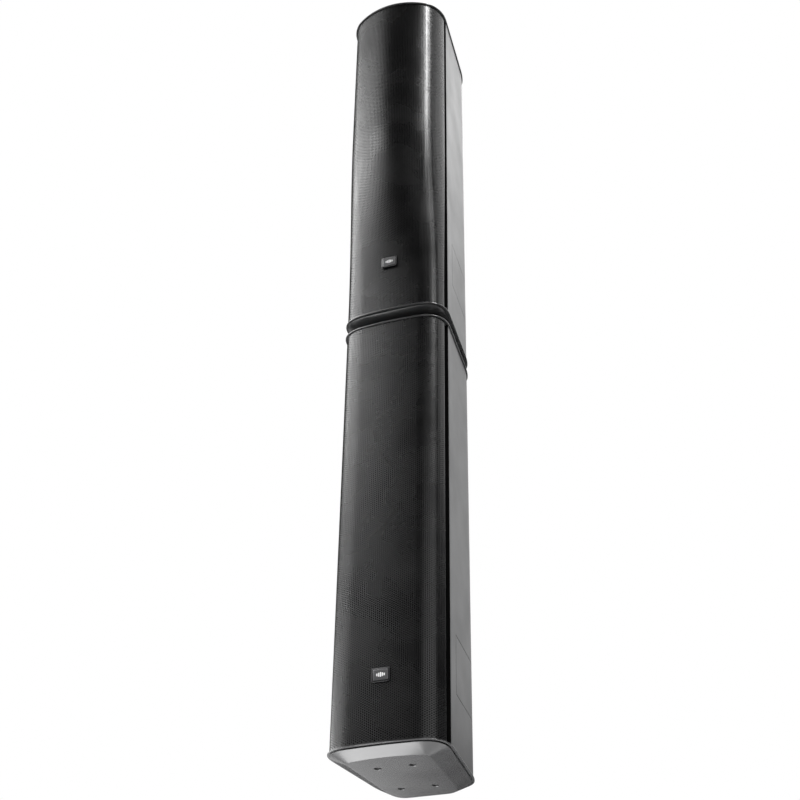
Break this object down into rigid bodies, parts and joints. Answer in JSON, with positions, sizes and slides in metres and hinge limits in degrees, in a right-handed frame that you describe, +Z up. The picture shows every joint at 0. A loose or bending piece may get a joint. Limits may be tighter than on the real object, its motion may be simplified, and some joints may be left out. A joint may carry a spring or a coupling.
{
  "type": "column loudspeaker system",
  "caption": "Tall column loudspeaker of stacked cabinets with bowed perforated grilles, tapered sides and chamfered end caps; the upper front bows out towards the top.",
  "frame": {"origin": "middle of the footprint on the surface the column stands on", "axes": "+Z up along the column, front grille faces -Y, +X to the right of a viewer facing the front"},
  "size_m": [0.247, 0.3434, 1.9997],
  "materials": {
    "shell": "fine-textured satin charcoal moulding",
    "cap": "smooth satin charcoal moulding",
    "grille": "black powder-coated perforated steel with a soft gloss",
    "inner_black": "matt black",
    "badge": "gloss black plate with a bright rim",
    "woofer_frame": "black painted steel",
    "cone": "matt pulp cone with a rubber surround",
    "hardware": "dark zinc-plated steel",
    "board": "green circuit board"
  },
  "bodies": {
    "cabinets": {"lower_shell": "shell", "lower_baffle": "inner_black", "lower_grille_frame": "inner_black", "lower_grille": "grille", "lower_bottom_cap": "cap", "lower_top_cap": "cap", "lower_badge": "badge", "lower_terminal_cup": "inner_black", "lower_socket_left": "inner_black", "lower_socket_right": "inner_black", "lower_barrier_strip": "inner_black", "lower_crossover_board": "board", "lower_woofer_frame_1": "woofer_frame", "lower_woofer_frame_2": "woofer_frame", "lower_woofer_frame_3": "woofer_frame", "lower_woofer_frame_4": "woofer_frame", "lower_woofer_frame_5": "woofer_frame", "lower_woofer_frame_6": "woofer_frame", "upper_shell": "shell", "upper_baffle": "inner_black", "upper_grille_frame": "inner_black", "upper_grille": "grille", "upper_bottom_cap": "cap", "upper_top_cap": "cap", "upper_badge": "badge", "upper_terminal_cup": "inner_black", "upper_socket_left": "inner_black", "upper_socket_right": "inner_black", "upper_barrier_strip": "inner_black", "upper_crossover_board": "board", "upper_woofer_frame_1": "woofer_frame", "upper_woofer_frame_2": "woofer_frame", "upper_woofer_frame_3": "woofer_frame", "upper_woofer_frame_4": "woofer_frame", "upper_woofer_frame_5": "woofer_frame", "upper_woofer_frame_6": "woofer_frame", "upper_tweeter_bar": "inner_black", "upper_tweeter_module_1": "woofer_frame", "upper_tweeter_module_2": "woofer_frame", "upper_tweeter_module_3": "woofer_frame", "upper_tweeter_module_4": "woofer_frame", "coupler_plate_left": "hardware", "coupler_plate_right": "hardware"},
    "lower_cone_1": {"lower_woofer_cone_1": "cone"},
    "lower_cone_2": {"lower_woofer_cone_2": "cone"},
    "lower_cone_3": {"lower_woofer_cone_3": "cone"},
    "lower_cone_4": {"lower_woofer_cone_4": "cone"},
    "lower_cone_5": {"lower_woofer_cone_5": "cone"},
    "lower_cone_6": {"lower_woofer_cone_6": "cone"},
    "upper_cone_1": {"upper_woofer_cone_1": "cone"},
    "upper_cone_2": {"upper_woofer_cone_2": "cone"},
    "upper_cone_3": {"upper_woofer_cone_3": "cone"},
    "upper_cone_4": {"upper_woofer_cone_4": "cone"},
    "upper_cone_5": {"upper_woofer_cone_5": "cone"},
    "upper_cone_6": {"upper_woofer_cone_6": "cone"},
    "lower_cover": {"lower_connector_cover": "shell"},
    "upper_cover": {"upper_connector_cover": "shell"},
    "coverage_slider": {"upper_coverage_switch": "hardware"},
    "voicing_slider": {"upper_voicing_switch": "hardware"}
  },
  "joints": [
    {"name": "lower_cone_1_travel", "type": "slide", "parent": "cabinets", "child": "lower_cone_1", "axis": [0, -1, 0], "range_m": [-0.005, 0.005], "stiffness_N_per_m": 1200},
    {"name": "lower_cone_2_travel", "type": "slide", "parent": "cabinets", "child": "lower_cone_2", "axis": [0, -1, 0], "range_m": [-0.005, 0.005], "stiffness_N_per_m": 1200},
    {"name": "lower_cone_3_travel", "type": "slide", "parent": "cabinets", "child": "lower_cone_3", "axis": [0, -1, 0], "range_m": [-0.005, 0.005], "stiffness_N_per_m": 1200},
    {"name": "lower_cone_4_travel", "type": "slide", "parent": "cabinets", "child": "lower_cone_4", "axis": [0, -1, 0], "range_m": [-0.005, 0.005], "stiffness_N_per_m": 1200},
    {"name": "lower_cone_5_travel", "type": "slide", "parent": "cabinets", "child": "lower_cone_5", "axis": [0, -1, 0], "range_m": [-0.005, 0.005], "stiffness_N_per_m": 1200},
    {"name": "lower_cone_6_travel", "type": "slide", "parent": "cabinets", "child": "lower_cone_6", "axis": [0, -1, 0], "range_m": [-0.005, 0.005], "stiffness_N_per_m": 1200},
    {"name": "upper_cone_1_travel", "type": "slide", "parent": "cabinets", "child": "upper_cone_1", "axis": [0, -1, 0], "range_m": [-0.005, 0.005], "stiffness_N_per_m": 1200},
    {"name": "upper_cone_2_travel", "type": "slide", "parent": "cabinets", "child": "upper_cone_2", "axis": [0, -1, 0], "range_m": [-0.005, 0.005], "stiffness_N_per_m": 1200},
    {"name": "upper_cone_3_travel", "type": "slide", "parent": "cabinets", "child": "upper_cone_3", "axis": [0, -1, 0], "range_m": [-0.005, 0.005], "stiffness_N_per_m": 1200},
    {"name": "upper_cone_4_travel", "type": "slide", "parent": "cabinets", "child": "upper_cone_4", "axis": [0, -1, 0], "range_m": [-0.005, 0.005], "stiffness_N_per_m": 1200},
    {"name": "upper_cone_5_travel", "type": "slide", "parent": "cabinets", "child": "upper_cone_5", "axis": [0, -1, 0], "range_m": [-0.005, 0.005], "stiffness_N_per_m": 1200},
    {"name": "upper_cone_6_travel", "type": "slide", "parent": "cabinets", "child": "upper_cone_6", "axis": [0, -1, 0], "range_m": [-0.005, 0.005], "stiffness_N_per_m": 1200},
    {"name": "lower_cover_pull", "type": "slide", "parent": "cabinets", "child": "lower_cover", "axis": [0, 1, 0], "range_m": [0, 0.09]},
    {"name": "upper_cover_pull", "type": "slide", "parent": "cabinets", "child": "upper_cover", "axis": [0, 1, 0], "range_m": [0, 0.09]},
    {"name": "coverage_switch_slide", "type": "slide", "parent": "cabinets", "child": "coverage_slider", "axis": [1, 0, 0], "range_m": [0, 0.004]},
    {"name": "voicing_switch_slide", "type": "slide", "parent": "cabinets", "child": "voicing_slider", "axis": [1, 0, 0], "range_m": [0, 0.004]}
  ],
  "couplings": [
    {"joint": "lower_cone_2_travel", "follows": "lower_cone_1_travel", "ratio": 1},
    {"joint": "lower_cone_3_travel", "follows": "lower_cone_1_travel", "ratio": 1},
    {"joint": "lower_cone_4_travel", "follows": "lower_cone_1_travel", "ratio": 1},
    {"joint": "lower_cone_5_travel", "follows": "lower_cone_1_travel", "ratio": 1},
    {"joint": "lower_cone_6_travel", "follows": "lower_cone_1_travel", "ratio": 1},
    {"joint": "upper_cone_2_travel", "follows": "upper_cone_1_travel", "ratio": 1},
    {"joint": "upper_cone_3_travel", "follows": "upper_cone_1_travel", "ratio": 1},
    {"joint": "upper_cone_4_travel", "follows": "upper_cone_1_travel", "ratio": 1},
    {"joint": "upper_cone_5_travel", "follows": "upper_cone_1_travel", "ratio": 1},
    {"joint": "upper_cone_6_travel", "follows": "upper_cone_1_travel", "ratio": 1}
  ]
}
